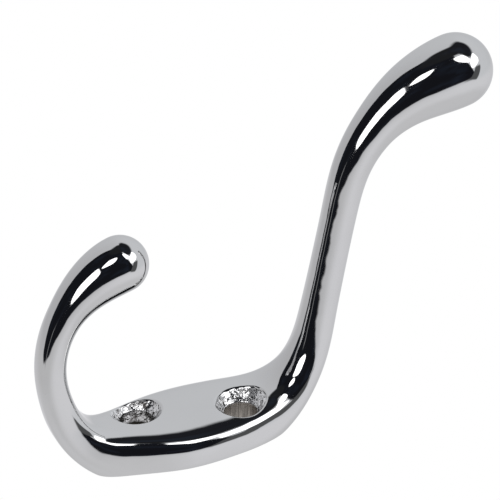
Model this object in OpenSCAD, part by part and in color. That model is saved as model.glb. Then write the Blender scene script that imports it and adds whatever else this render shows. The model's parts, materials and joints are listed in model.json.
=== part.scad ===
// Double coat hook: one solid die casting with a flat back. A short curled hook leaves the
// lower end of the base and a long hook with an outward bend leaves the upper end.
// Frame: +Z points up the wall, the wall face of the base lies in the plane y = 0, the hooks
// reach out to -Y, and the origin is on the wall face midway between the two screw holes.

/* [Base] */
// Width of the base at its widest
base_w = 18.7; // [17:0.1:23]
// Height of the base's front above the wall
base_h = 6.2; // [5.4:0.1:8]
// Height above the wall of the line where the base is widest
base_line = 1.4; // [1:0.1:2]
// Distance from the origin down to the widest place of the base
base_mid_at = 3.4; // [1:0.2:5]
// Distance from the origin down to the lower shoulder
lower_shoulder_at = 13.8; // [11:0.2:17]
// Width of the lower shoulder
lower_shoulder_w = 13.4; // [12:0.2:18]
// Thickness of the lower shoulder
lower_shoulder_t = 9.2; // [8:0.2:11]
// Distance from the origin up to the upper shoulder
upper_shoulder_at = 6.4; // [5:0.2:10]
// Width of the upper shoulder
upper_shoulder_w = 17.8; // [15:0.2:20]
// Thickness of the upper shoulder
upper_shoulder_t = 9.7; // [8.6:0.1:11]

/* [Screw holes] */
// Distance between the screw holes, measured up the wall
screw_spacing = 17; // [14:0.5:21]
// Sideways distance between the screw holes, so that a driver can pass each hook
screw_stagger = 5.8; // [0:0.2:7]
// Diameter of the hole through the base
bore_d = 5.7; // [4:0.1:6.4]
// Diameter of the countersink at the front of the base
head_d = 9.3; // [8:0.1:10]
// Included angle of the countersink
head_angle = 82; // [80:1:100]
// How far the wide end of the lower countersink lies above the height of the base's front
lower_seat_rise = 0.1; // [0:0.1:0.5]
// How far the wide end of the upper countersink lies above it, where the base has begun to rise
upper_seat_rise = 0.3; // [0:0.1:0.8]

/* [Lower hook] */
// Distance from the origin down to the start of the bend that lifts the hook off the wall
lower_bend_at = 6.7; // [5:0.1:10]
// Radius of that bend
lower_bend_r = 11.9; // [9:0.1:15]
// Angle of that bend
lower_bend_angle = 70; // [55:1:80]
// Length over which that bend comes in, and goes out again
lower_bend_ease = 8.5; // [2:0.5:11]
// Radius of the curl that follows it
lower_curl_r = 18.3; // [15:0.1:24]
// Angle of the curl, up to the middle of the bulb
lower_curl_angle = 94; // [75:1:105]
// Length over which the curl comes in
lower_curl_ease = 15.5; // [4:0.5:20]
// Width of the hook at the start of the curl
lower_foot_w = 9; // [7:0.2:12]
// Thickness of the hook at the start of the curl
lower_foot_t = 6.8; // [5:0.2:8]
// Width of the hook at its neck
lower_neck_w = 6.6; // [5:0.2:8]
// Thickness of the hook at its neck
lower_neck_t = 5.8; // [4:0.2:7]
// Distance from the neck to the middle of the lower bulb
lower_neck_at = 13.7; // [10:0.1:20]
// Diameter of the lower bulb
lower_bulb_d = 9.6; // [8:0.2:12]

/* [Upper hook] */
// Distance from the origin up to the start of the bend that turns the hook off the wall
upper_bend_at = 3.2; // [1:0.1:8]
// Radius of that bend
upper_bend_r = 14.6; // [12:0.1:20]
// Angle of that bend
upper_bend_angle = 77; // [65:1:85]
// Length over which that bend comes in, and goes out again
upper_bend_ease = 11.5; // [2:0.5:14]
// Straight length of the hook's stem
upper_stem = 18.7; // [14:0.1:30]
// Radius of the bend that turns the end of the hook up the wall again
upper_reach_r = 21.7; // [17:0.1:28]
// Angle of that bend, up to the middle of the bulb
upper_reach_angle = 64.5; // [50:0.5:80]
// Length over which that bend comes in, and goes out again
upper_reach_ease = 8.8; // [2:0.2:14]
// Distance from the origin to the hook's foot, along the middle of the casting
upper_foot_at = 24; // [20:0.2:30]
// Width of the hook at its foot
upper_foot_w = 9; // [7:0.2:12]
// Thickness of the hook at its foot
upper_foot_t = 7.4; // [6:0.2:9]
// Diameter of the stem at its middle
upper_stem_d = 6.2; // [5:0.1:8]
// Diameter of the neck behind the bulb
upper_neck_d = 7.6; // [6:0.1:9]
// Distance from the neck to the middle of the upper bulb
upper_neck_at = 18.2; // [14:0.2:24]
// Diameter of the upper bulb
upper_bulb_d = 12.8; // [10:0.2:16]

/* [Hidden] */
$fn = 64;

// Squareness of the sections: 2 is an ellipse, and higher values fill the corners
round_section = 2;
base_section = 3.4;

// Facets of the cast surface: points round a section, its longest step, steps on a bulb's end,
// and steps of the centre line from one ring to the next
ring_points = 48;
ring_step = 1.8;
cap_steps = 7;
line_steps = 4;

// Room that the cutters leave beyond the surfaces they break through
cut_over = 3;

// The hooks are built along a centre line that starts at the origin. Each bend is
// [start, radius, angle, length coming in, length going out]
lower_bend = [lower_bend_at, lower_bend_r, lower_bend_angle, lower_bend_ease, lower_bend_ease];
lower_curl = [bend_end(lower_bend) - lower_bend_ease, lower_curl_r, lower_curl_angle, lower_curl_ease, 0];
upper_bend = [upper_bend_at, upper_bend_r, upper_bend_angle, upper_bend_ease, upper_bend_ease];
upper_reach = [
    bend_end(upper_bend) + upper_stem,
    upper_reach_r, upper_reach_angle, upper_reach_ease, upper_reach_ease
];
lower_end = bend_end(lower_curl);
upper_end = bend_end(upper_reach);

// Sections of the casting from the lower bulb to the upper one:
// [place on the centre line, width, thickness, squareness]
sections = [
    [-lower_end, lower_bulb_d, lower_bulb_d, round_section],
    [lower_neck_at - lower_end, lower_neck_w, lower_neck_t, round_section],
    [-lower_curl[0], lower_foot_w, lower_foot_t, base_section],
    [-lower_shoulder_at, lower_shoulder_w, lower_shoulder_t, base_section],
    [-base_mid_at, base_w, 2 * (base_h - base_line), base_section],
    [upper_shoulder_at, upper_shoulder_w, upper_shoulder_t, base_section],
    [upper_foot_at, upper_foot_w, upper_foot_t, round_section],
    [bend_end(upper_bend) + upper_stem / 2, upper_stem_d, upper_stem_d, round_section],
    [upper_end - upper_neck_at, upper_neck_d, upper_neck_d, round_section],
    [upper_end, upper_bulb_d, upper_bulb_d, round_section]
];
last_section = len(sections) - 1;

// Place where a bend has reached its full angle
function bend_end(bend) = bend[0] + bend[1] * bend[2] * PI / 180 + (bend[3] + bend[4]) / 2;

// Angle that a bend has turned through at a place. Its curvature grows evenly from nothing to
// that of its radius, holds, and fades again
function turned(bend, place) =
    let (
        degrees = 180 / PI / bend[1],
        past = place - bend[0],
        left = bend_end(bend) - place
    )
    past <= 0 ? 0
        : left <= 0 ? bend[2]
        : left < bend[4] ? bend[2] - degrees * left * left / bend[4] / 2
        : past < bend[3] ? degrees * past * past / bend[3] / 2
        : degrees * (past - bend[3] / 2);

// Angle between the centre line and the wall, where places below the origin are negative
function heading(place) = place >= 0
    ? turned(upper_bend, place) - turned(upper_reach, place)
    : -turned(lower_bend, -place) - turned(lower_curl, -place);

// [height, distance from the wall] at even steps along the centre line, from the origin on
function trace(step, count) = [
    for (i = 0, p = [0, base_line]; i <= count;
        p = p + step * [cos(heading((i + 0.5) * step)), sin(heading((i + 0.5) * step))], i = i + 1)
    p
];

// Smooth blend of one column of the sections
function gap(k) = sections[k + 1][0] - sections[k][0];

function rise(k, column) = (sections[k + 1][column] - sections[k][column]) / gap(k);

function slope(k, column) = k == 0 || k == last_section
    ? 0
    : (gap(k - 1) * rise(k, column) + gap(k) * rise(k - 1, column)) / (gap(k - 1) + gap(k));

function section_index(place, k = 0) =
    k >= last_section - 1 || place < sections[k + 1][0] ? k : section_index(place, k + 1);

function blended(place, column) =
    let (k = section_index(place), t = (place - sections[k][0]) / gap(k))
    sections[k][column] * (1 + 2 * t) * (1 - t) * (1 - t)
        + sections[k + 1][column] * t * t * (3 - 2 * t)
        + gap(k) * slope(k, column) * t * (1 - t) * (1 - t)
        - gap(k) * slope(k + 1, column) * t * t * (1 - t);

// One ring of the skin: an ellipse or squared ellipse across the centre line
function ring(position, heading, width, thickness, squareness) = [
    for (i = [0 : ring_points - 1])
    let (
        side = cos(360 * i / ring_points),
        front = sin(360 * i / ring_points),
        fill = pow(pow(abs(side), squareness) + pow(abs(front), squareness), -1 / squareness),
        across = width / 2 * side * fill,
        ahead = thickness / 2 * front * fill
    )
    [across, -(position.y + ahead * cos(heading)), position.x - ahead * sin(heading)]
];

function blended_ring(position, place) =
    ring(position, heading(place), blended(place, 1), blended(place, 2), blended(place, 3));

// Point on the middle of a bulb's round end, `reach` beyond the end of the centre line
function beyond(end, heading, reach) = end + reach * [cos(heading), sin(heading)];

// Ring on that round end, `lean` degrees beyond the bulb's middle
function cap_ring(end, heading, side, diameter, lean) =
    ring(
        beyond(end, heading, side * diameter / 2 * sin(lean)),
        heading, diameter * cos(lean), diameter * cos(lean), round_section
    );

// The casting before it is cut: one skin from the tip of the lower bulb to that of the upper one
module swept_bar() {
    lower_rings = ceil(lower_end / ring_step);
    upper_rings = ceil(upper_end / ring_step);
    lower_step = -lower_end / lower_rings;
    upper_step = upper_end / upper_rings;
    lower_line = trace(lower_step / line_steps, lower_rings * line_steps);
    upper_line = trace(upper_step / line_steps, upper_rings * line_steps);
    lower_tip = lower_line[lower_rings * line_steps];
    upper_tip = upper_line[upper_rings * line_steps];
    rings = concat(
        [for (i = [cap_steps - 1 : -1 : 1])
            cap_ring(lower_tip, heading(-lower_end), -1, lower_bulb_d, 90 * i / cap_steps)],
        [for (i = [lower_rings : -1 : 1]) blended_ring(lower_line[i * line_steps], i * lower_step)],
        [for (i = [0 : upper_rings]) blended_ring(upper_line[i * line_steps], i * upper_step)],
        [for (i = [1 : cap_steps - 1])
            cap_ring(upper_tip, heading(upper_end), 1, upper_bulb_d, 90 * i / cap_steps)]
    );
    tips = [
        beyond(lower_tip, heading(-lower_end), -lower_bulb_d / 2),
        beyond(upper_tip, heading(upper_end), upper_bulb_d / 2)
    ];
    count = len(rings);
    points = concat([for (r = rings) each r], [for (p = tips) [0, -p.y, p.x]]);
    first_tip = count * ring_points;
    last_ring = first_tip - ring_points;
    faces = concat(
        [for (j = [0 : count - 2], i = [0 : ring_points - 1])
            let (next = (i + 1) % ring_points, a = j * ring_points, b = a + ring_points)
            each [[a + i, b + next, b + i], [a + i, a + next, b + next]]],
        [for (i = [0 : ring_points - 1]) [first_tip, (i + 1) % ring_points, i]],
        [for (i = [0 : ring_points - 1])
            [first_tip + 1, last_ring + i, last_ring + (i + 1) % ring_points]]
    );
    polyhedron(points, faces, convexity = 8);
}

// Everything behind the wall face
module wall_side() {
    depth = lower_bend_r + base_line;
    length = 2 * (lower_shoulder_at + lower_bend_r + upper_bend_r);
    translate([-base_w, 0, -length / 2]) cube([2 * base_w, depth, length]);
}

// A screw's way through the base: bore, countersink, and the head's way in from the front
module screw_hole(side, seat_h) {
    head_depth = (head_d - bore_d) / 2 / tan(head_angle / 2);
    translate([side * screw_stagger / 2, 0, side * screw_spacing / 2])
        rotate([90, 0, 0]) {
            translate([0, 0, -cut_over]) cylinder(h = cut_over + seat_h, d = bore_d);
            translate([0, 0, seat_h - head_depth]) cylinder(h = head_depth, d1 = bore_d, d2 = head_d);
            translate([0, 0, seat_h]) cylinder(h = cut_over, d = head_d);
        }
}

module hook() {
    color("silver")
        difference() {
            swept_bar();
            wall_side();
            screw_hole(-1, base_h + lower_seat_rise);
            screw_hole(1, base_h + upper_seat_rise);
        }
}

hook();
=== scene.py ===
"""Double coat hook: the smooth plated casting, its finishes, and the studio it lies in.

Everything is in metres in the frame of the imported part: +Z points up the wall, the wall face lies
in the plane y = 0, the hooks reach out to -Y, and the origin is midway between the screw holes.
"""

import json
import math

import bmesh
import bpy
import numpy as np
from bpy.props import FloatProperty, FloatVectorProperty, IntProperty, PointerProperty
from mathutils import Matrix, Vector, noise
from mathutils.bvhtree import BVHTree
from mathutils.kdtree import KDTree


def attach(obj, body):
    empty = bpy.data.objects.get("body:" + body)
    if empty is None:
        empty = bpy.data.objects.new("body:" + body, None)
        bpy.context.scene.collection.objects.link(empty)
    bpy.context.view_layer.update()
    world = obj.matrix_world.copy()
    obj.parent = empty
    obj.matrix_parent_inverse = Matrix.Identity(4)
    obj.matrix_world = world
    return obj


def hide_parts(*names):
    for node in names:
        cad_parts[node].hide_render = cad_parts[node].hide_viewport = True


bl_info = {
    "name": "Double Coat Hook",
    "version": (1, 0, 0),
    "blender": (4, 5, 0),
    "location": "View3D > Sidebar > Coat Hook",
    "description": "Builds a chrome-plated double coat hook and a small studio around it",
    "category": "Object",
}

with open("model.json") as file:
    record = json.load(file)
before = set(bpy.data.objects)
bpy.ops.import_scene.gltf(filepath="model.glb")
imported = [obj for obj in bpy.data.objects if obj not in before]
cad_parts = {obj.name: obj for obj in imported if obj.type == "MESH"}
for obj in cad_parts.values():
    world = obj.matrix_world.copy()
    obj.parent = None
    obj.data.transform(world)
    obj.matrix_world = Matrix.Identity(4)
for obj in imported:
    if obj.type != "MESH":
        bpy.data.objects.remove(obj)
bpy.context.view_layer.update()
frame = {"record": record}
MOUNTS = {mount["name"]: mount for mount in frame["record"]["mounts"]}
MM = 0.001

# Steps that the mesh shares with the solid part, so that both follow the same line
RING_STEP = 1.8 * MM
LINE_STEPS = 4

# The smooth skin lies this far inside the solid part's facets, so that it never stands beyond them
INSET = 0.02 * MM

# Mesh steps round a screw hole, up its bore, round its bore's mouth, up its countersink and over
# its rounded rim
HOLE_TURNS = 240
BORE_STEPS = 8
MOUTH_STEPS = 4
CONE_STEPS = 16
RIM_STEPS = 6

# How far a screw hole's mouth is rounded, and how far its cutter reaches before and behind the casting
MOUTH_ROUNDING = 0.15 * MM
CUTTER_FRONT = 12 * MM
CUTTER_BACK = 1 * MM

# Points of the cut mesh that lie closer than this become one
WELD = 0.002 * MM

# Passes that find where a countersink meets the skin
RIM_PASSES = 12

# How far a hole's rim rises out of the skin, so that the cut is clean, and how far apart two steps
# of its wall are kept where they would meet
RIM_LIFT = 0.03 * MM
STEP_APART = 0.05 * MM

# Rows of a countersink over which its folds fade in and out, and how much finer and weaker the small
# folds are that lie on the large ones
FOLD_FADE = 3
SMALL_FOLD_FINENESS = 2.3
SMALL_FOLD_SHARE = 0.5

# Share of a bore's height that is left above its last step, for its mouth to round
BORE_LEFT = 0.06

# Points of a hole's wall whose normals a point near them takes the mean of
WALL_NEIGHBOURS = 3

# A length too small to matter
TINY = 1e-7

# Squareness of a section: 2 is an ellipse, and higher values fill the corners
ROUND_SECTION = 2.0
BASE_SECTION = 3.4


# --------------------------------------------------------------------------------------------
# Colours and properties


def linear(hex_colour, alpha=True):
    """Linear RGB, or RGBA, of an sRGB colour written as six hex digits."""
    channels = [int(hex_colour[i:i + 2], 16) / 255 for i in (0, 2, 4)]
    values = [c / 12.92 if c <= 0.04045 else ((c + 0.055) / 1.055) ** 2.4 for c in channels]
    return (*values, 1.0) if alpha else tuple(values)


def length(name, mm, description):
    """A length property, whose default is given in millimetres."""
    return FloatProperty(
        name=name, description=description, default=mm * MM, unit="LENGTH", precision=4
    )


def angle(name, degrees, description):
    """An angle property, whose default is given in degrees."""
    return FloatProperty(
        name=name, description=description, default=math.radians(degrees), subtype="ANGLE"
    )


def colour(name, hex_colour, description):
    """A colour property, whose default is given as an sRGB colour."""
    return FloatVectorProperty(
        name=name, description=description, default=linear(hex_colour), size=4,
        subtype="COLOR", min=0.0, max=1.0,
    )


class CoatHookSizes(bpy.types.PropertyGroup):
    """Sizes of the casting, as in the solid part."""

    base_w: length("Base width", 18.7, "Width of the base at its widest")
    base_h: length("Base height", 6.2, "Height of the base's front above the wall")
    base_line: length("Base line", 1.4, "Height above the wall where the base is widest")
    base_mid_at: length("Widest place", 3.4, "From the origin down to the widest place of the base")
    lower_shoulder_at: length("Lower shoulder", 13.8, "From the origin down to the lower shoulder")
    lower_shoulder_w: length("Lower shoulder width", 13.4, "Width of the lower shoulder")
    lower_shoulder_t: length("Lower shoulder thickness", 9.2, "Thickness of the lower shoulder")
    upper_shoulder_at: length("Upper shoulder", 6.4, "From the origin up to the upper shoulder")
    upper_shoulder_w: length("Upper shoulder width", 17.8, "Width of the upper shoulder")
    upper_shoulder_t: length("Upper shoulder thickness", 9.7, "Thickness of the upper shoulder")

    head_d: length("Countersink", 9.3, "Diameter of the countersinks at the front")
    head_angle: angle("Countersink angle", 82, "Included angle of the countersinks")

    lower_bend_at: length("Lower bend start", 6.7, "From the origin down to the start of the bend")
    lower_bend_r: length("Lower bend radius", 11.9, "Radius of the bend that lifts the hook off the wall")
    lower_bend_angle: angle("Lower bend angle", 70, "Angle of that bend")
    lower_bend_ease: length("Lower bend ease", 8.5, "Length over which that bend comes in and goes out")
    lower_curl_r: length("Curl radius", 18.3, "Radius of the lower hook's curl")
    lower_curl_angle: angle("Curl angle", 94, "Angle of the curl, up to the middle of the bulb")
    lower_curl_ease: length("Curl ease", 15.5, "Length over which the curl comes in")
    lower_foot_w: length("Lower foot width", 9, "Width of the hook at the start of the curl")
    lower_foot_t: length("Lower foot thickness", 6.8, "Thickness at the start of the curl")
    lower_neck_w: length("Lower neck width", 6.6, "Width of the lower hook's neck")
    lower_neck_t: length("Lower neck thickness", 5.8, "Thickness of the lower hook's neck")
    lower_neck_at: length("Lower neck", 13.7, "From the neck to the middle of the lower bulb")
    lower_bulb_d: length("Lower bulb", 9.6, "Diameter of the lower bulb")

    upper_bend_at: length("Upper bend start", 3.2, "From the origin up to the start of the bend")
    upper_bend_r: length("Upper bend radius", 14.6, "Radius of the bend that turns the hook off the wall")
    upper_bend_angle: angle("Upper bend angle", 77, "Angle of that bend")
    upper_bend_ease: length("Upper bend ease", 11.5, "Length over which that bend comes in and goes out")
    upper_stem: length("Stem", 18.7, "Straight length of the stem")
    upper_reach_r: length("Reach radius", 21.7, "Radius of the bend that turns the end up the wall")
    upper_reach_angle: angle("Reach angle", 64.5, "Angle of that bend, up to the middle of the bulb")
    upper_reach_ease: length("Reach ease", 8.8, "Length over which that bend comes in and goes out")
    upper_foot_at: length("Upper foot", 24, "From the origin to the hook's foot, along the casting")
    upper_foot_w: length("Upper foot width", 9, "Width of the upper hook at its foot")
    upper_foot_t: length("Upper foot thickness", 7.4, "Thickness of the upper hook at its foot")
    upper_stem_d: length("Stem diameter", 6.2, "Diameter of the stem at its middle")
    upper_neck_d: length("Upper neck", 7.6, "Diameter of the neck behind the bulb")
    upper_neck_at: length("Upper neck place", 18.2, "From the neck to the middle of the upper bulb")
    upper_bulb_d: length("Upper bulb", 12.8, "Diameter of the upper bulb")

    ring_points: IntProperty(
        name="Points round a section", description="Mesh points round the casting", default=120, min=24
    )
    cap_steps: IntProperty(
        name="Steps on a bulb", description="Mesh rings on the round end of a bulb", default=24, min=6
    )


class CoatHookFinish(bpy.types.PropertyGroup):
    """Colours and surface of the plated casting."""

    plate: colour("Plate", "CECECE", "Bright chrome over nickel")
    plate_edge: colour("Plate edge", "E8E8E8", "Tint of chrome seen at a flat angle, where it dims")
    plate_shade: colour("Plate shade", "C9C9CA", "Where the chrome layer is thinner")
    cast: colour("Cast surface", "E2E2E3", "Plated surface left as cast inside the screw holes")
    thin: colour("Thin plating", "585554", "Cast surface where the plating thins out")
    # Pits that the plating didn't reach, and also the colour of the painted shade deep in the lower bore
    pits_and_painted_shade: colour("Specks", "2B2824", "Pits that the plating didn't reach")
    bore: colour("Bore", "7D7873", "Dull, thinly plated wall of the bores")
    bore_light: colour("Bore scratches", "B9B3AC", "Bright scratches down the bores")
    ground: colour("Ground back", "AEB0B2", "Belt-ground wall face")
    wave_size: length("Wave size", 7, "Size of the soft waves that hand polishing leaves")
    wave_depth: length("Wave depth", 0.14, "Depth of those waves")
    crinkle_size: length("Crinkle size", 1.2, "Size of the folds inside the countersinks")
    crinkle_depth: length("Crinkle depth", 0.12, "Depth of those folds")
    edge_radius: length("Edge rounding", 0.35, "Rounding that polishing leaves on the countersinks' rims")


class CoatHookStudio(bpy.types.PropertyGroup):
    """The board under the hook, the light and the camera."""

    board: colour("Board", "FFFFFF", "The plain pale board that the hook lies on")
    far_window: colour("Far window", "141B25", "Faint blue light in patches over the dark room")
    distance: FloatProperty(
        name="Camera distance", description="From the camera to the middle of its view",
        default=0.3994, unit="LENGTH",
    )
    lens: FloatProperty(
        name="Lens", description="Focal length on a 36 mm sensor", default=166.79, unit="CAMERA"
    )
    azimuth: angle("Camera azimuth", -23.627, "Direction to the camera along the board, from +X to +Z")
    elevation: angle("Camera elevation", 28.706, "Angle of the camera above the board")
    roll: angle("Camera roll", -1.553, "Turn of the camera about its line of sight")


# --------------------------------------------------------------------------------------------
# Shape of the casting


def bend_end(bend):
    """Place where a bend has reached its full angle."""
    return bend[0] + bend[1] * bend[2] + (bend[3] + bend[4]) / 2


def turned(bend, place):
    """Angle that a bend has turned through at a place; its curvature grows, holds and fades."""
    start, radius, full, ease_in, ease_out = bend
    past, left = place - start, bend_end(bend) - place
    if past <= 0:
        return 0.0
    if left <= 0:
        return full
    if left < ease_out:
        return full - left * left / (2 * ease_out * radius)
    if past < ease_in:
        return past * past / (2 * ease_in * radius)
    return (past - ease_in / 2) / radius


class Casting:
    """Centre line and sections of the hook, from the lower bulb to the upper one.

    A bend is [start, radius, angle, length coming in, length going out], and a section is
    [place on the centre line, width, thickness, squareness]."""

    def __init__(self, s):
        self.lower_bend = [
            s.lower_bend_at, s.lower_bend_r, s.lower_bend_angle, s.lower_bend_ease, s.lower_bend_ease,
        ]
        curl_at = bend_end(self.lower_bend) - s.lower_bend_ease
        self.lower_curl = [curl_at, s.lower_curl_r, s.lower_curl_angle, s.lower_curl_ease, 0]
        self.upper_bend = [
            s.upper_bend_at, s.upper_bend_r, s.upper_bend_angle, s.upper_bend_ease, s.upper_bend_ease,
        ]
        reach_at = bend_end(self.upper_bend) + s.upper_stem
        self.upper_reach = [
            reach_at, s.upper_reach_r, s.upper_reach_angle, s.upper_reach_ease, s.upper_reach_ease,
        ]
        self.lower_end, self.upper_end = bend_end(self.lower_curl), bend_end(self.upper_reach)
        self.base_line = s.base_line
        self.bulbs = (s.lower_bulb_d, s.upper_bulb_d)
        self.sections = np.array([
            [-self.lower_end, s.lower_bulb_d, s.lower_bulb_d, ROUND_SECTION],
            [s.lower_neck_at - self.lower_end, s.lower_neck_w, s.lower_neck_t, ROUND_SECTION],
            [-curl_at, s.lower_foot_w, s.lower_foot_t, BASE_SECTION],
            [-s.lower_shoulder_at, s.lower_shoulder_w, s.lower_shoulder_t, BASE_SECTION],
            [-s.base_mid_at, s.base_w, 2 * (s.base_h - s.base_line), BASE_SECTION],
            [s.upper_shoulder_at, s.upper_shoulder_w, s.upper_shoulder_t, BASE_SECTION],
            [s.upper_foot_at, s.upper_foot_w, s.upper_foot_t, ROUND_SECTION],
            [bend_end(self.upper_bend) + s.upper_stem / 2, s.upper_stem_d, s.upper_stem_d, ROUND_SECTION],
            [self.upper_end - s.upper_neck_at, s.upper_neck_d, s.upper_neck_d, ROUND_SECTION],
            [self.upper_end, s.upper_bulb_d, s.upper_bulb_d, ROUND_SECTION],
        ])

    def heading(self, place):
        """Angle between the centre line and the wall; places below the origin are negative."""
        if place >= 0:
            return turned(self.upper_bend, place) - turned(self.upper_reach, place)
        return -turned(self.lower_bend, -place) - turned(self.lower_curl, -place)

    def trace(self, end):
        """[place, height, distance from the wall, heading] in even steps from the origin to an end."""
        count = math.ceil(abs(end) / RING_STEP) * LINE_STEPS
        step = end / count
        headings = [self.heading((i + 0.5) * step) for i in range(count)]
        height = np.cumsum([0] + [step * math.cos(h) for h in headings])
        out = np.cumsum([self.base_line] + [step * math.sin(h) for h in headings])
        places = np.arange(count + 1) * step
        return np.stack([places, height, out, [self.heading(p) for p in places]], -1)

    def blended(self, places):
        """Width, thickness and squareness at each place, blended smoothly between the sections."""
        at, values = self.sections[:, 0], self.sections[:, 1:]
        gaps = np.diff(at)
        rises = np.diff(values, axis=0) / gaps[:, None]
        slopes = np.zeros_like(values)
        share = (gaps[:-1] / (gaps[:-1] + gaps[1:]))[:, None]
        slopes[1:-1] = share * rises[1:] + (1 - share) * rises[:-1]
        k = np.clip(np.searchsorted(at, places, side="right") - 1, 0, len(gaps) - 1)
        gap = gaps[k][:, None]
        t = (places[:, None] - at[k][:, None]) / gap
        return (
            values[k] * (1 + 2 * t) * (1 - t) ** 2 + values[k + 1] * t * t * (3 - 2 * t)
            + gap * slopes[k] * t * (1 - t) ** 2 - gap * slopes[k + 1] * t * t * (1 - t)
        )

    def rings(self, points, cap_steps):
        """Points of the whole skin as an array [ring, point, xyz], with both tips apart."""
        lower, upper = self.trace(-self.lower_end)[::-1], self.trace(self.upper_end)
        line = np.vstack([lower, upper[1:]])
        sizes = self.blended(line[:, 0])
        lean = np.arange(1, cap_steps) / cap_steps * math.pi / 2
        tips = []
        for end, side, bulb in ((line[0], -1, self.bulbs[0]), (line[-1], 1, self.bulbs[1])):
            reach = side * bulb / 2 * np.append(np.sin(lean), 1.0)
            cap = np.repeat(end[None], cap_steps, 0)
            cap[:, 1] += reach * math.cos(end[3])
            cap[:, 2] += reach * math.sin(end[3])
            d = bulb * np.cos(lean)
            cap_sizes = np.stack([d, d, np.full_like(d, ROUND_SECTION)], -1)
            tips.append((0.0, -cap[-1, 2], cap[-1, 1]))
            if side < 0:
                line, sizes = np.vstack([cap[-2::-1], line]), np.vstack([cap_sizes[::-1], sizes])
            else:
                line, sizes = np.vstack([line, cap[:-1]]), np.vstack([sizes, cap_sizes])
        turn = np.arange(points) * 2 * math.pi / points
        side, front = np.cos(turn), np.sin(turn)
        n = sizes[:, 2:3]
        fill = (np.abs(side) ** n + np.abs(front) ** n) ** (-1 / n)
        across = sizes[:, 0:1] / 2 * side * fill
        ahead = sizes[:, 1:2] / 2 * front * fill
        cosine, sine = np.cos(line[:, 3:4]), np.sin(line[:, 3:4])
        skin = np.stack([across, -(line[:, 2:3] + ahead * cosine), line[:, 1:2] - ahead * sine], -1)
        return skin, tips


def skin_mesh(casting, points, cap_steps):
    """The uncut skin: vertices, faces and a smooth normal at each vertex."""
    skin, tips = casting.rings(points, cap_steps)
    count = len(skin)
    along = np.gradient(skin, axis=0)
    around = (np.roll(skin, -1, 1) - np.roll(skin, 1, 1)) / 2
    normals = np.cross(around, along)
    normals /= np.linalg.norm(normals, axis=-1, keepdims=True)
    tip_normals = []
    for tip, ring in ((tips[0], skin[0]), (tips[1], skin[-1])):
        away = np.array(tip) - ring.mean(0)
        tip_normals.append(away / np.linalg.norm(away))
    outward = np.einsum("ijk,ijk->ij", normals, skin - skin.mean(1, keepdims=True))
    normals *= np.sign(np.median(outward))
    first, last = count * points, count * points + 1
    faces = []
    for j in range(count - 1):
        for i in range(points):
            a, b, after = j * points, (j + 1) * points, (i + 1) % points
            faces.append((a + i, a + after, b + after, b + i))
    end = (count - 1) * points
    for i in range(points):
        after = (i + 1) % points
        faces.append((first, after, i))
        faces.append((last, end + i, end + after))
    normals = np.vstack([normals.reshape(-1, 3), tip_normals])
    vertices = np.vstack([skin.reshape(-1, 3), tips]) - INSET * normals
    return vertices, faces, normals


# Parts of the casting, numbered as its materials are; the rims take the outside's in the end
CAST, HOLE, BACK, RIM = 0, 1, 2, 3


def mesh_object(name, vertices, faces, parts=None):
    """A new object; parts gives each face's material index."""
    mesh = bpy.data.meshes.new(name)
    mesh.from_pydata([tuple(v) for v in vertices], [], faces)
    mesh.polygons.foreach_set("material_index", parts or [CAST] * len(faces))
    bm = bmesh.new()
    bm.from_mesh(mesh)
    bmesh.ops.recalc_face_normals(bm, faces=bm.faces)
    bm.to_mesh(mesh)
    bm.free()
    obj = bpy.data.objects.new(name, mesh)
    bpy.context.scene.collection.objects.link(obj)
    return obj


def rounded_corner(before, corner, after, steps):
    """Points of a corner rounded between the points before and after it."""
    t = np.linspace(0, 1, steps + 1)[:, None]
    return (1 - t) ** 2 * before + 2 * t * (1 - t) * corner + t * t * after


def screw_hole_wall(mount, s, f, skin):
    """One screw hole: its wall as an array [turn, step, xyz], and what each step belongs to."""
    bore, low, head = mount["dims"]["r_mm"] * MM, mount["dims"]["length_mm"] * MM, s.head_d / 2
    seat = low + (head - bore) / math.tan(s.head_angle / 2)
    slant = np.array([math.sin(s.head_angle / 2), math.cos(s.head_angle / 2)])
    x, _, z = mount["pos_m"]
    rounding = f.edge_radius

    def front(radius, c, d):
        """Height of the uncut skin over the wall at a distance from the hole's axis."""
        start = Vector((x + radius * c, -CUTTER_FRONT, z + radius * d))
        hit = skin.ray_cast(start, Vector((0, 1, 0)))[0]
        return -hit.y

    wall = []
    for turn in np.arange(HOLE_TURNS) * 2 * math.pi / HOLE_TURNS:
        c, d = math.cos(turn), math.sin(turn)
        radius = head
        for _ in range(RIM_PASSES):
            radius = min(head, bore + (front(radius, c, d) - low) * math.tan(s.head_angle / 2))
        rim = np.array([radius, front(radius, c, d)])
        above = max(0.0, rim[1] - seat)
        flare = np.array([rounding, front(radius + rounding, c, d) - rim[1]])
        flare *= rounding / np.linalg.norm(flare)
        if above > rounding:
            inner = rim - (0, rounding)
            corner = np.array([head, seat])
        else:
            inner = np.array([radius, rim[1] - above]) - slant * (rounding - above)
            corner = inner - slant * STEP_APART
        bend = np.array([bore, low])
        mouth = bend + slant * MOUTH_ROUNDING
        cone = mouth + np.linspace(0, 1, CONE_STEPS + 1)[1:, None] * (corner - mouth)
        outer = rim + flare + np.array([-flare[1], flare[0]]) / rounding * RIM_LIFT
        line = np.vstack([
            [(bore, -CUTTER_BACK)], bend - np.linspace(1, BORE_LEFT, BORE_STEPS)[:, None] * (0, low),
            rounded_corner(bend - (0, MOUTH_ROUNDING), bend, mouth, MOUTH_STEPS),
            cone, rounded_corner(inner, rim, outer, RIM_STEPS), [(outer[0], CUTTER_FRONT)],
        ])
        wall.append([(x + r * c, -out, z + r * d) for r, out in line])
    steps = len(wall[0])
    parts = [HOLE] * (steps - RIM_STEPS - 2) + [RIM] * (RIM_STEPS + 1)
    return np.array(wall), parts


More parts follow.
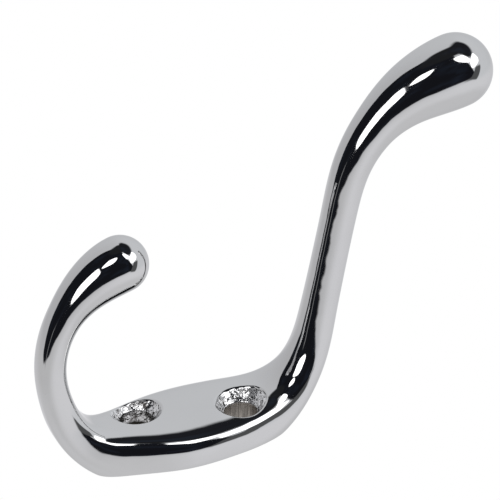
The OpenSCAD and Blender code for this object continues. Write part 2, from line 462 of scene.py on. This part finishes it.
def wall_normals(wall):
    """A smooth normal at each point of a hole's wall, towards the hole's inside."""
    around = np.roll(wall, -1, 0) - np.roll(wall, 1, 0)
    normals = np.cross(around, np.gradient(wall, axis=1))
    normals /= np.linalg.norm(normals, axis=-1, keepdims=True)
    inward = wall.mean(0, keepdims=True) - wall
    return normals * np.sign(np.median(np.einsum("ijk,ijk->ij", normals, inward)))


def crinkled(wall, parts, f):
    """The wall with the shallow folds that casting leaves on the countersink."""
    normals = wall_normals(wall)
    wall = wall.copy()
    first, last = 1 + BORE_STEPS + MOUTH_STEPS + 1, parts.index(RIM)
    for j in range(first, last):
        fade = min(1.0, (j - first) / FOLD_FADE, (last - 1 - j) / FOLD_FADE)
        for i in range(len(wall)):
            place = Vector(wall[i, j]) / f.crinkle_size
            folds = noise.noise(place) + SMALL_FOLD_SHARE * noise.noise(place * SMALL_FOLD_FINENESS)
            wall[i, j] += normals[i, j] * folds * fade * f.crinkle_depth
    return wall


def hole_cutter(name, wall, parts):
    """A closed cutter inside a screw hole's wall."""
    turns, steps = wall.shape[:2]
    faces = [
        (i * steps + j, (i + 1) % turns * steps + j, (i + 1) % turns * steps + j + 1, i * steps + j + 1)
        for j in range(steps - 1) for i in range(turns)
    ]
    indices = [parts[j] for j in range(steps - 1) for _ in range(turns)]
    faces += [tuple(i * steps for i in range(turns)), tuple(i * steps + steps - 1 for i in range(turns))]
    return mesh_object("cutter_" + name, wall.reshape(-1, 3), faces, indices + [HOLE, HOLE])


def cut_at_wall(obj):
    """Removes what lies behind the wall face and closes the flat back."""
    bm = bmesh.new()
    bm.from_mesh(obj.data)
    bmesh.ops.bisect_plane(
        bm, geom=bm.verts[:] + bm.edges[:] + bm.faces[:], dist=TINY,
        plane_co=(0, 0, 0), plane_no=(0, 1, 0), clear_outer=True,
    )
    rim = [e for e in bm.edges if e.is_boundary]
    closed = bmesh.ops.holes_fill(bm, edges=rim, sides=0)["faces"]
    for face in closed:
        face.material_index = BACK
    bmesh.ops.recalc_face_normals(bm, faces=bm.faces)
    bm.to_mesh(obj.data)
    bm.free()


def cut_holes(obj, cutters):
    """Cuts the screw holes, whose walls keep the cutters' material index, and fills the back anew
    round the bores with clean triangles."""
    for cutter in cutters:
        boolean = obj.modifiers.new(cutter.name, "BOOLEAN")
        boolean.operation, boolean.solver, boolean.object = "DIFFERENCE", "EXACT", cutter
        boolean.material_mode = "INDEX"
    depsgraph = bpy.context.evaluated_depsgraph_get()
    cut = bpy.data.meshes.new_from_object(obj.evaluated_get(depsgraph))
    obj.modifiers.clear()
    old, obj.data = obj.data, cut
    bpy.data.meshes.remove(old)
    for cutter in cutters:
        bpy.data.objects.remove(cutter)
    bm = bmesh.new()
    bm.from_mesh(cut)
    bmesh.ops.remove_doubles(bm, verts=bm.verts, dist=WELD)
    bmesh.ops.dissolve_degenerate(bm, edges=bm.edges, dist=WELD)
    back = [face for face in bm.faces if face.material_index == BACK]
    bmesh.ops.delete(bm, geom=back, context="FACES")
    outlines = [edge for edge in bm.edges if edge.is_boundary]
    filled = bmesh.ops.triangle_fill(bm, edges=outlines, use_beauty=True, normal=(0, 1, 0))["geom"]
    for face in filled:
        if isinstance(face, bmesh.types.BMFace):
            face.material_index = BACK
    bmesh.ops.recalc_face_normals(bm, faces=bm.faces)
    bm.to_mesh(cut)
    bm.free()


def set_normals(obj, skin, vertices, faces, normals, walls):
    """Gives the outside the true normals of the uncut skin, and the holes those of their walls."""
    mesh = obj.data
    points = np.vstack([wall.reshape(-1, 3) for wall in walls])
    inward = np.vstack([wall_normals(wall).reshape(-1, 3) for wall in walls])
    near_wall = KDTree(len(points))
    for i, point in enumerate(points):
        near_wall.insert(point, i)
    near_wall.balance()

    def outside(point):
        """Normal of the uncut skin at a point."""
        place, _, face, _ = skin.find_nearest(point)
        corners = list(faces[face])
        weight = 1 / (np.linalg.norm(vertices[corners] - np.array(place), axis=1) + TINY)
        return Vector((normals[corners] * weight[:, None]).sum(0)).normalized()

    def inside(point):
        """Normal of a hole's wall at a point, towards the hole's inside."""
        found = near_wall.find_n(point, WALL_NEIGHBOURS)
        return sum((Vector(inward[i]) / (gap + TINY) for _, i, gap in found), Vector()).normalized()

    result = [None] * len(mesh.loops)
    known = {}
    for polygon in mesh.polygons:
        polygon.use_smooth = True
        part = polygon.material_index
        for loop in polygon.loop_indices:
            vertex = mesh.loops[loop].vertex_index
            if part == BACK:
                result[loop] = polygon.normal.copy()
                continue
            key = (vertex, part == CAST)
            if key not in known:
                point = mesh.vertices[vertex].co
                known[key] = outside(point) if part == CAST else inside(point)
            result[loop] = known[key]
        if part == RIM:
            polygon.material_index = CAST
    mesh.normals_split_custom_set(result)


# --------------------------------------------------------------------------------------------
# Materials


def add_node(tree, kind, inputs=None, **settings):
    """Adds a node with its settings; an input is given as a value or as another node's output."""
    node = tree.nodes.new(kind)
    for key, value in settings.items():
        setattr(node, key, value)
    for socket, value in (inputs or {}).items():
        if isinstance(value, bpy.types.NodeSocket):
            tree.links.new(value, node.inputs[socket])
        else:
            node.inputs[socket].default_value = value
    return node


def new_material(name):
    """An empty node material with its output, and the node tree to fill."""
    material = bpy.data.materials.new(name)
    material.use_nodes = True
    material.node_tree.nodes.clear()
    return material, material.node_tree


# How much finer and flatter than the polishing waves the ripples on them are
RIPPLE_FINENESS = 5
RIPPLE_FLATNESS = 28


def polished_chrome_plate(f):
    """Chrome over nickel on a hand-polished casting: mirror-bright, in which soft polishing waves
    make the edges of reflections wander, and faint rubbing marks spread the brightest ones."""
    material, tree = new_material("polished_chrome_plate")
    place = add_node(tree, "ShaderNodeTexCoord").outputs["Object"]
    waves = add_node(tree, "ShaderNodeTexNoise", {
        "Vector": place, "Scale": 1 / f.wave_size, "Detail": 1.5, "Roughness": 0.45,
    })
    ripples = add_node(tree, "ShaderNodeTexNoise", {
        "Vector": place, "Scale": RIPPLE_FINENESS / f.wave_size, "Detail": 1.0, "Roughness": 0.4,
    })
    waved = add_node(tree, "ShaderNodeBump", {
        "Height": waves.outputs["Fac"], "Distance": f.wave_depth, "Strength": 1.0,
    })
    rippled = add_node(tree, "ShaderNodeBump", {
        "Height": ripples.outputs["Fac"], "Distance": f.wave_depth / RIPPLE_FLATNESS, "Strength": 1.0,
        "Normal": waved.outputs["Normal"],
    })
    rubbed = add_node(tree, "ShaderNodeTexNoise", {
        "Vector": place, "Scale": 1 / (9 * MM), "Detail": 5.0, "Roughness": 0.65,
    })
    gloss = add_node(tree, "ShaderNodeMapRange", {
        "Value": rubbed.outputs["Fac"], "From Min": 0.35, "From Max": 0.7,
        "To Min": 0.028, "To Max": 0.075,
    })
    tint = add_node(tree, "ShaderNodeMix", {
        "Factor": rubbed.outputs["Fac"], "A": f.plate, "B": f.plate_shade,
    }, data_type="RGBA")
    shader = add_node(tree, "ShaderNodeBsdfPrincipled", {
        "Base Color": tint.outputs["Result"], "Roughness": gloss.outputs["Result"],
        "Normal": rippled.outputs["Normal"], "Metallic": 1.0, "Specular Tint": f.plate_edge,
    })
    add_node(tree, "ShaderNodeOutputMaterial", {"Surface": shader.outputs["BSDF"]})
    return material


# Height over the wall at which a bore ends and its countersink starts, and its blurred edge
BORE_TOP = 4.25 * MM
BORE_EDGE = 0.2 * MM

# Height over the wall up to which the lower bore is painted dark as shade, and its blurred edge
PAINTED_SHADE_TOP = 2.3 * MM
PAINTED_SHADE_EDGE = 0.5 * MM

# More than the casting's height round the upper bore, which puts that bore out of the painted shade's reach
OUT_OF_REACH = 9 * MM


def as_cast_plated_zinc(f):
    """Die-cast zinc, plated but never polished: a bright crinkled skin that glitters on the countersinks,
    dark where the plating thins out, dull and brownish down the bores, and painted shade deep in the lower
    bore."""
    material, tree = new_material("as_cast_plated_zinc")
    place = add_node(tree, "ShaderNodeTexCoord").outputs["Object"]
    parts = add_node(tree, "ShaderNodeSeparateXYZ", {"Vector": place}).outputs
    upper = add_node(tree, "ShaderNodeMath", {
        0: parts["Z"], 1: 0.0,
    }, operation="GREATER_THAN").outputs[0]

    def speckle(size, detail, start, stop):
        """Patches of a size in metres, and how strongly each shows."""
        grain = add_node(tree, "ShaderNodeTexNoise", {
            "Vector": place, "Scale": 1 / size, "Detail": detail, "Roughness": 0.6, "Distortion": 0.4,
        }).outputs["Fac"]
        shown = add_node(tree, "ShaderNodeMapRange", {
            "Value": grain, "From Min": start, "From Max": stop,
        }).outputs["Result"]
        return grain, shown

    # Folds of the cast skin, patches where the plating thins out, and pits
    folds, _ = speckle(0.8 * MM, 2.3, 0.0, 1.0)
    _, thin = speckle(1.6 * MM, 3.0, 0.48, 0.66)
    _, specks = speckle(0.6 * MM, 1.0, 0.62, 0.68)
    # Scratches that a drill left down the bore, as coarse as they need to show
    drawn = add_node(tree, "ShaderNodeMapping", {"Vector": place, "Scale": (1.0, 0.06, 1.0)})
    scratches = add_node(tree, "ShaderNodeTexNoise", {
        "Vector": drawn.outputs["Vector"], "Scale": 1 / (0.4 * MM), "Detail": 2.0, "Roughness": 0.7,
    }).outputs["Fac"]
    streaks = add_node(tree, "ShaderNodeMapRange", {
        "Value": scratches, "From Min": 0.35, "From Max": 0.65,
    }).outputs["Result"]
    # The upper bore is drilled bare, and the lower one keeps most of its plating
    bored = add_node(tree, "ShaderNodeMapRange", {
        "Value": parts["Y"], "From Min": -BORE_TOP, "From Max": BORE_EDGE - BORE_TOP,
    }).outputs["Result"]
    drilled = add_node(tree, "ShaderNodeMapRange", {
        "Value": upper, "To Min": 0.15, "To Max": 1.0,
    }).outputs["Result"]
    dull = add_node(tree, "ShaderNodeMath", {
        0: bored, 1: drilled,
    }, operation="MULTIPLY").outputs[0]
    # Painted shade: the lower bore is painted near-black deep down by the wall, where little light gets in,
    # and the upper one is not
    depth = add_node(tree, "ShaderNodeMath", {
        0: upper, 1: -OUT_OF_REACH, 2: parts["Y"],
    }, operation="MULTIPLY_ADD").outputs[0]
    painted_bore_shade = add_node(tree, "ShaderNodeMapRange", {
        "Value": depth, "From Min": -PAINTED_SHADE_TOP, "From Max": PAINTED_SHADE_EDGE - PAINTED_SHADE_TOP,
    }).outputs["Result"]
    # The plating is thinner on the lower countersink, which shows more of the dark cast surface
    kept = add_node(tree, "ShaderNodeMapRange", {
        "Value": upper, "To Min": 1.0, "To Max": 0.3,
    }).outputs["Result"]
    thin = add_node(tree, "ShaderNodeMath", {0: thin, 1: kept}, operation="MULTIPLY").outputs[0]
    bore = add_node(tree, "ShaderNodeMix", {
        "Factor": streaks, "A": f.bore, "B": f.bore_light,
    }, data_type="RGBA").outputs["Result"]
    tint = f.cast
    # The last layer lays painted shade, in the pits' colour, deep in the lower bore
    for share, layer in ((thin, f.thin), (specks, f.pits_and_painted_shade), (dull, bore), (painted_bore_shade, f.pits_and_painted_shade)):
        tint = add_node(tree, "ShaderNodeMix", {
            "Factor": share, "A": tint, "B": layer,
        }, data_type="RGBA").outputs["Result"]
    rough = add_node(tree, "ShaderNodeMapRange", {"Value": dull, "To Min": 0.18, "To Max": 0.5})
    deep = add_node(tree, "ShaderNodeMapRange", {"Value": dull, "To Min": 1.0, "To Max": 0.1})
    folded = add_node(tree, "ShaderNodeBump", {
        "Height": folds, "Distance": 0.2 * MM, "Strength": deep.outputs["Result"],
    })
    scratched = add_node(tree, "ShaderNodeBump", {
        "Height": scratches, "Distance": 0.1 * MM, "Strength": dull,
        "Normal": folded.outputs["Normal"],
    })
    shader = add_node(tree, "ShaderNodeBsdfPrincipled", {
        "Base Color": tint, "Roughness": rough.outputs["Result"],
        "Normal": scratched.outputs["Normal"], "Metallic": 1.0,
    })
    add_node(tree, "ShaderNodeOutputMaterial", {"Surface": shader.outputs["BSDF"]})
    return material


def belt_ground_back(f):
    """The wall face, ground flat on a belt before plating: a satin grey with fine lines along it."""
    material, tree = new_material("belt_ground_back")
    place = add_node(tree, "ShaderNodeTexCoord").outputs["Object"]
    # Lines of a grinding belt along the wall face, coarser than real grit so that they show
    drawn = add_node(tree, "ShaderNodeMapping", {"Vector": place, "Scale": (1.0, 1.0, 0.02)})
    lines = add_node(tree, "ShaderNodeTexNoise", {
        "Vector": drawn.outputs["Vector"], "Scale": 1 / (0.18 * MM), "Detail": 3.0, "Roughness": 0.6,
    })
    bump = add_node(tree, "ShaderNodeBump", {
        "Height": lines.outputs["Fac"], "Distance": 0.01 * MM, "Strength": 0.6,
    })
    gloss = add_node(tree, "ShaderNodeMapRange", {
        "Value": lines.outputs["Fac"], "To Min": 0.24, "To Max": 0.42,
    })
    shader = add_node(tree, "ShaderNodeBsdfPrincipled", {
        "Base Color": f.ground, "Roughness": gloss.outputs["Result"],
        "Normal": bump.outputs["Normal"], "Metallic": 1.0,
    })
    add_node(tree, "ShaderNodeOutputMaterial", {"Surface": shader.outputs["BSDF"]})
    return material


# --------------------------------------------------------------------------------------------
# Studio

# The pale tent, which grows brighter towards one side: its walls and its floor away from that side
# and towards it, and the floor straight below the hook
TENT_SIDE = (-0.17, 0.0, 0.98)
TENT_WALLS = ("D3D3D5", "EDEFF2")
TENT_FLOOR = ("DDDDDE", "F9F9FC")
TENT_BELOW = "EAEAEC"

# Where these run into each other: the walls and the floor by the cosine to TENT_SIDE, and the place
# below and the floor's edge by elevation in degrees
WALLS_SPAN = (-0.8, 0.8)
FLOOR_SPAN = (-0.8, 0.2)
BELOW_SPAN = (-28.0, -50.0)
FLOOR_EDGE = (-5.0, -20.0)

# What stands before the tent, as the polished plate sees it, from the back to the front:
# (name, azimuth, elevation, half width, half height, lean, tilt, squareness, softness, colour, gain)
# Azimuth turns from +X to +Z along the board and elevation rises from it, both in degrees.
# The lean shifts the azimuth with the elevation, and the tilt shifts the elevation with the azimuth,
# as far as TILT_REACH to either side.
TILT_REACH = 60.0
SURROUNDINGS = (
    ("dark room", -74.0, 102.0, 72.5, 117.5, -0.37, 0.115, 12.0, 0.03, "1A1B20", 1.0),
    ("dark ceiling", 0.0, 110.0, 400.0, 38.0, 0.0, 0.0, 12.0, 0.15, "262729", 1.0),
    ("dark corner", 72.0, 119.0, 71.5, 72.0, -0.47, 0.19, 6.0, 0.12, "232428", 1.0),
    ("grey curtain", 39.5, 2.0, 12.0, 16.5, 0.8, -0.16, 6.0, 0.3, "5E5F60", 1.0),
    ("light stand", -72.5, -7.0, 1.7, 11.0, 0.14, 0.36, 6.0, 0.5, "88898A", 1.0),
    ("front softbox", -51.5, 28.0, 16.5, 20.0, 0.56, -0.75, 3.5, 0.12, "FFFFFF", 3.0),
    ("front softbox top", -32.0, 52.0, 12.0, 7.8, 0.03, 0.08, 3.0, 0.2, "FFFFFF", 3.0),
    ("side softbox", 49.5, 32.5, 20.0, 12.0, 0.12, 0.2, 3.5, 0.2, "FFFFFF", 3.0),
    ("side softbox top", 22.0, 52.0, 11.5, 12.8, -0.59, -0.11, 3.5, 0.2, "FFFFFF", 3.0),
)


def make_world(studio):
    """A pale tent with a dark room beyond its front, two softboxes and a light stand."""
    world = bpy.data.worlds.new("studio")
    bpy.context.scene.world = world
    world.use_nodes = True
    tree = world.node_tree
    tree.nodes.clear()
    towards = add_node(tree, "ShaderNodeTexCoord").outputs["Generated"]
    parts = add_node(tree, "ShaderNodeSeparateXYZ", {"Vector": towards}).outputs
    azimuth = add_node(tree, "ShaderNodeMath", {
        0: parts["Z"], 1: parts["X"],
    }, operation="ARCTAN2").outputs[0]
    azimuth = add_node(tree, "ShaderNodeMath", {0: azimuth}, operation="DEGREES").outputs[0]
    elevation = parts["Y"]
    for operation, number in (("MULTIPLY", -1.0), ("ARCSINE", 0.0), ("DEGREES", 0.0)):
        elevation = add_node(tree, "ShaderNodeMath", {
            0: elevation, 1: number,
        }, operation=operation).outputs[0]
    side = add_node(tree, "ShaderNodeVectorMath", {
        0: towards, 1: TENT_SIDE,
    }, operation="DOT_PRODUCT").outputs["Value"]

    def laid_over(under, over, value, start, stop):
        """One colour laid over another, fading in as a value goes from start to stop."""
        share = add_node(tree, "ShaderNodeMapRange", {
            "Value": value, "From Min": start, "From Max": stop,
        }, interpolation_type="SMOOTHSTEP").outputs["Result"]
        return add_node(tree, "ShaderNodeMix", {
            "Factor": share, "A": under, "B": over,
        }, data_type="RGBA").outputs["Result"]

    walls = laid_over(linear(TENT_WALLS[0]), linear(TENT_WALLS[1]), side, *WALLS_SPAN)
    floor = laid_over(linear(TENT_FLOOR[0]), linear(TENT_FLOOR[1]), side, *FLOOR_SPAN)
    floor = laid_over(floor, linear(TENT_BELOW), elevation, *BELOW_SPAN)
    view = laid_over(walls, floor, elevation, *FLOOR_EDGE)
    for _, at, high, width, height, lean, tilt, squareness, soft, hex_colour, gain in SURROUNDINGS:
        aside = add_node(tree, "ShaderNodeMath", {
            0: azimuth, 1: at,
        }, operation="SUBTRACT").outputs[0]
        above = add_node(tree, "ShaderNodeMath", {
            0: elevation, 1: high,
        }, operation="SUBTRACT").outputs[0]
        along = add_node(tree, "ShaderNodeMath", {
            0: above, 1: -lean, 2: aside,
        }, operation="MULTIPLY_ADD").outputs[0]
        near = add_node(tree, "ShaderNodeClamp", {
            "Value": aside, "Min": -TILT_REACH, "Max": TILT_REACH,
        }).outputs[0]
        up = add_node(tree, "ShaderNodeMath", {
            0: near, 1: -tilt, 2: above,
        }, operation="MULTIPLY_ADD").outputs[0]
        # A squared ellipse: its rim is where the two powers add up to 1
        total = 0.0
        for value, half in ((along, width), (up, height)):
            for operation, number in (
                ("DIVIDE", half), ("ABSOLUTE", 0.0), ("POWER", squareness), ("ADD", total),
            ):
                value = add_node(tree, "ShaderNodeMath", {
                    0: value, 1: number,
                }, operation=operation).outputs[0]
            total = value
        reach = add_node(tree, "ShaderNodeMath", {
            0: total, 1: 1 / squareness,
        }, operation="POWER").outputs[0]
        gained = tuple(c * gain for c in linear(hex_colour, alpha=False)) + (1.0,)
        view = laid_over(view, gained, reach, 1 + soft / 2, 1 - soft / 2)
    # Blue light from a far window lies in patches over everything, and shows where the room is dark
    patches = add_node(tree, "ShaderNodeTexNoise", {
        "Vector": towards, "Scale": 3.2, "Detail": 3.0,
    }).outputs["Fac"]
    shown = add_node(tree, "ShaderNodeMapRange", {
        "Value": patches, "From Min": 0.5, "From Max": 0.75,
    }).outputs["Result"]
    view = add_node(tree, "ShaderNodeMix", {
        "Factor": shown, "A": view, "B": studio.far_window,
    }, data_type="RGBA", blend_type="ADD").outputs["Result"]
    # What is seen directly is as plain as the board
    seen = add_node(tree, "ShaderNodeLightPath").outputs["Is Camera Ray"]
    view = add_node(tree, "ShaderNodeMix", {
        "Factor": seen, "A": view, "B": studio.board,
    }, data_type="RGBA").outputs["Result"]
    background = add_node(tree, "ShaderNodeBackground", {"Color": view, "Strength": 1.0})
    add_node(tree, "ShaderNodeOutputWorld", {"Surface": background.outputs["Background"]})


# Half the side of the board, and how far it lies behind the wall face
BOARD_HALF = 3.0
BOARD_GAP = 0.05 * MM


def make_board(studio):
    """A plain pale board in the plane of the wall face, seen only from its front."""
    material, tree = new_material("pale_board")
    back = add_node(tree, "ShaderNodeNewGeometry").outputs["Backfacing"]
    glow = add_node(tree, "ShaderNodeEmission", {"Color": studio.board, "Strength": 1.0})
    clear = add_node(tree, "ShaderNodeBsdfTransparent")
    mix = add_node(tree, "ShaderNodeMixShader", {0: back, 1: glow.outputs[0], 2: clear.outputs[0]})
    add_node(tree, "ShaderNodeOutputMaterial", {"Surface": mix.outputs[0]})
    mesh = bpy.data.meshes.new("board")
    corners = [(x * BOARD_HALF, BOARD_GAP, z * BOARD_HALF) for x, z in ((-1, -1), (1, -1), (1, 1), (-1, 1))]
    mesh.from_pydata(corners, [], [(0, 1, 2, 3)])
    mesh.materials.append(material)
    board = bpy.data.objects.new("board", mesh)
    bpy.context.scene.collection.objects.link(board)
    # The tent's floor stands for the board in reflections
    board.visible_glossy = False
    board.visible_shadow = False
    return board


# The middle of the camera's view, and the width of its sensor in millimetres
VIEW_CENTRE = (-0.0094470, -0.0278645, 0.0164786)
SENSOR_WIDTH = 36.0


def make_camera(studio):
    """A long lens that looks down on the hook from beside its lower end."""
    away = Vector((0, -1, 0))
    level = Vector((math.cos(studio.azimuth), 0, math.sin(studio.azimuth)))
    back = level * math.cos(studio.elevation) + away * math.sin(studio.elevation)
    right = away.cross(back).normalized()
    up = back.cross(right)
    turn = Matrix((right, up, back)).transposed().to_4x4() @ Matrix.Rotation(studio.roll, 4, "Z")
    data = bpy.data.cameras.new("camera")
    data.lens, data.sensor_width = studio.lens, SENSOR_WIDTH
    camera = bpy.data.objects.new("camera", data)
    camera.matrix_world = Matrix.Translation(Vector(VIEW_CENTRE) + back * studio.distance) @ turn
    bpy.context.scene.collection.objects.link(camera)
    bpy.context.scene.camera = camera


# --------------------------------------------------------------------------------------------
# Operators, panel and main


class COATHOOK_OT_casting(bpy.types.Operator):
    """Build the smooth plated casting with its flat back and screw holes"""

    bl_idname = "coat_hook.casting"
    bl_label = "Build the casting"

    def execute(self, context):
        s, f = context.scene.coat_hook_sizes, context.scene.coat_hook_finish
        vertices, faces, normals = skin_mesh(Casting(s), s.ring_points, s.cap_steps)
        skin = BVHTree.FromPolygons([tuple(v) for v in vertices], faces)
        hook = mesh_object("plated_hook", vertices, faces)
        cut_at_wall(hook)
        walls, cutters = [], []
        for name in ("lower_screw_hole", "upper_screw_hole"):
            wall, parts = screw_hole_wall(MOUNTS[name], s, f, skin)
            walls.append(crinkled(wall, parts, f))
            cutters.append(hole_cutter(name, walls[-1], parts))
        plate = polished_chrome_plate(f)
        for material in (plate, as_cast_plated_zinc(f), belt_ground_back(f), plate):
            for obj in (hook, *cutters):
                obj.data.materials.append(material)
        cut_holes(hook, cutters)
        set_normals(hook, skin, vertices, faces, normals, walls)
        hook.data.materials.pop(index=RIM)
        if len(hook.data.polygons) < len(faces) / 2:
            raise RuntimeError("the casting was lost while its holes were cut")
        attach(hook, "root")
        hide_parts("hook")
        return {"FINISHED"}


class COATHOOK_OT_studio(bpy.types.Operator):
    """Lay the pale board and set up the light and the camera"""

    bl_idname = "coat_hook.studio"
    bl_label = "Build the studio"

    def execute(self, context):
        studio = context.scene.coat_hook_studio
        make_board(studio)
        make_world(studio)
        make_camera(studio)
        context.scene.view_settings.view_transform = "Standard"
        return {"FINISHED"}


class COATHOOK_PT_panel(bpy.types.Panel):
    """Sizes, finish and studio of the coat hook"""

    bl_idname = "COATHOOK_PT_panel"
    bl_label = "Coat Hook"
    bl_space_type = "VIEW_3D"
    bl_region_type = "UI"
    bl_category = "Coat Hook"

    def draw(self, context):
        layout = self.layout
        layout.operator(COATHOOK_OT_casting.bl_idname)
        layout.operator(COATHOOK_OT_studio.bl_idname)
        for group in (
            context.scene.coat_hook_sizes, context.scene.coat_hook_finish, context.scene.coat_hook_studio
        ):
            column = layout.column(align=True)
            for key in group.__annotations__:
                column.prop(group, key)


CLASSES = (
    CoatHookSizes, CoatHookFinish, CoatHookStudio,
    COATHOOK_OT_casting, COATHOOK_OT_studio, COATHOOK_PT_panel,
)


def register():
    """Registers the classes and hangs the properties on the scene."""
    for cls in CLASSES:
        bpy.utils.register_class(cls)
    bpy.types.Scene.coat_hook_sizes = PointerProperty(type=CoatHookSizes)
    bpy.types.Scene.coat_hook_finish = PointerProperty(type=CoatHookFinish)
    bpy.types.Scene.coat_hook_studio = PointerProperty(type=CoatHookStudio)


def unregister():
    """Takes the properties off the scene again and unregisters the classes."""
    del bpy.types.Scene.coat_hook_studio
    del bpy.types.Scene.coat_hook_finish
    del bpy.types.Scene.coat_hook_sizes
    for cls in reversed(CLASSES):
        bpy.utils.unregister_class(cls)


def main():
    """Builds everything: the casting and the studio."""
    register()
    bpy.ops.coat_hook.casting()
    bpy.ops.coat_hook.studio()
    bpy.context.view_layer.update()


if __name__ == "__main__":
    main()
